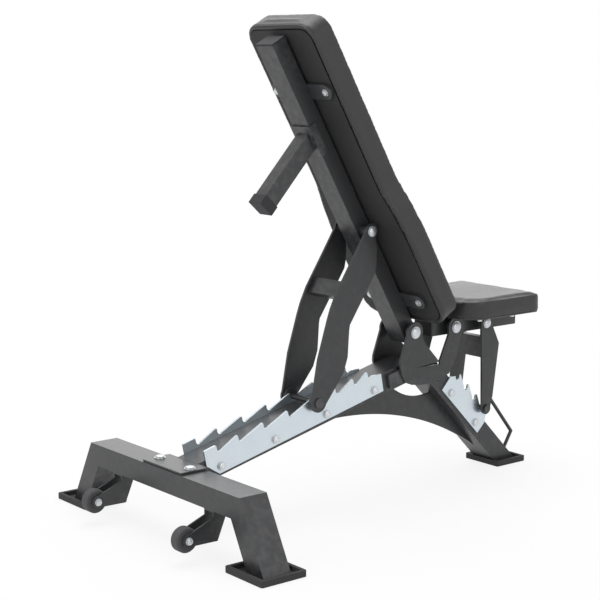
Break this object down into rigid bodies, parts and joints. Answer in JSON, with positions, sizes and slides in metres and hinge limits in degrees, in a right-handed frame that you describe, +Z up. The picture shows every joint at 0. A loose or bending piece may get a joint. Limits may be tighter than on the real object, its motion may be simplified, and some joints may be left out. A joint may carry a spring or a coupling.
{
  "type": "adjustable weight bench",
  "caption": "Adjustable weight bench with a padded back and seat on toothed ladders, splayed front feet, a rear foot, transport wheels and a grab handle.",
  "frame": {"origin": "centre of the bounding box, on the floor plane under the feet", "axes": "+X from the crossbeam towards the seat, +Y to the bench's left as the sitter leans back looking along +X, +Z up"},
  "size_m": [1.1868, 0.7988, 1.1277],
  "materials": {
    "black_steel": "satin black powder coat",
    "zinc_plate": "pale zinc plating, fine grain",
    "zinc_bolt": "bright zinc plating",
    "foot_rubber": "matt black rubber",
    "cap_plastic": "black moulded plastic",
    "wheel_plastic": "dark grey plastic",
    "wheel_tyre": "dark grey rubber",
    "pad_cover": "black satin vinyl over foam",
    "pad_board": "board under black backing cloth"
  },
  "bodies": {
    "base": {"crossbeam": "black_steel", "front_feet": "foot_rubber", "rear_foot": "foot_rubber", "mount_plate": "black_steel", "mount_bolts": "zinc_bolt", "spine_tube": "black_steel", "back_ladder_right": "zinc_plate", "back_ladder_left": "zinc_plate", "back_ladder_bolts": "zinc_bolt", "gusset": "black_steel", "rear_leg": "black_steel", "pivot_plate_right": "black_steel", "pivot_plate_left": "black_steel", "pivot_spacers": "black_steel", "back_pivot_bolt": "zinc_bolt", "seat_pivot_bolt": "zinc_bolt", "seat_ladder_right": "zinc_plate", "seat_ladder_left": "zinc_plate", "seat_ladder_bolts": "zinc_bolt", "lift_handle": "black_steel", "wheel_brackets": "black_steel", "wheel_axles": "zinc_bolt"},
    "wheel_right": {"wheel_right": "wheel_plastic", "tyre_right": "wheel_tyre"},
    "wheel_left": {"wheel_left": "wheel_plastic", "tyre_left": "wheel_tyre"},
    "back": {"back_tube": "black_steel", "back_tube_cap": "cap_plastic", "back_brackets": "black_steel", "back_bolts": "zinc_bolt", "back_board": "pad_board", "back_pad": "pad_cover", "handle_saddle": "black_steel", "handle_tube": "black_steel", "handle_cap": "cap_plastic", "arm_pivot_bolts": "zinc_bolt"},
    "back_arm": {"arm_plate_right": "black_steel", "arm_plate_left": "black_steel", "arm_tube": "black_steel", "arm_rod": "black_steel"},
    "seat": {"seat_tube": "black_steel", "seat_tube_caps": "cap_plastic", "seat_brackets": "black_steel", "seat_bolts": "zinc_bolt", "seat_board": "pad_board", "seat_pad": "pad_cover", "seat_arm_bolts": "zinc_bolt"},
    "seat_arm": {"seat_arm_right": "black_steel", "seat_arm_left": "black_steel", "seat_arm_tube": "black_steel", "seat_arm_rod": "black_steel"}
  },
  "joints": [
    {"name": "back_recline", "type": "hinge", "parent": "base", "child": "back", "pos_m": [0.19663, 0, 0.38], "axis": [0, 1, 0], "range_deg": [0, 22]},
    {"name": "back_arm_swing", "type": "hinge", "parent": "back", "child": "back_arm", "pos_m": [0.04913, 0, 0.63548], "axis": [0, 1, 0], "range_deg": [-25, 5]},
    {"name": "seat_tilt", "type": "hinge", "parent": "base", "child": "seat", "pos_m": [0.33263, 0, 0.3784], "axis": [0, -1, 0], "range_deg": [0, 12]},
    {"name": "seat_arm_swing", "type": "hinge", "parent": "seat", "child": "seat_arm", "pos_m": [0.43163, 0, 0.3784], "axis": [0, -1, 0], "range_deg": [-15, 3]},
    {"name": "wheel_spin_right", "type": "hinge", "parent": "base", "child": "wheel_right", "pos_m": [-0.56637, -0.178, 0.052], "axis": [0, 1, 0], "continuous": true},
    {"name": "wheel_spin_left", "type": "hinge", "parent": "base", "child": "wheel_left", "pos_m": [-0.56637, 0.178, 0.052], "axis": [0, 1, 0], "continuous": true}
  ],
  "couplings": [
    {"joint": "back_arm_swing", "follows": "back_recline", "ratio": -0.75},
    {"joint": "seat_arm_swing", "follows": "seat_tilt", "ratio": -0.95}
  ]
}
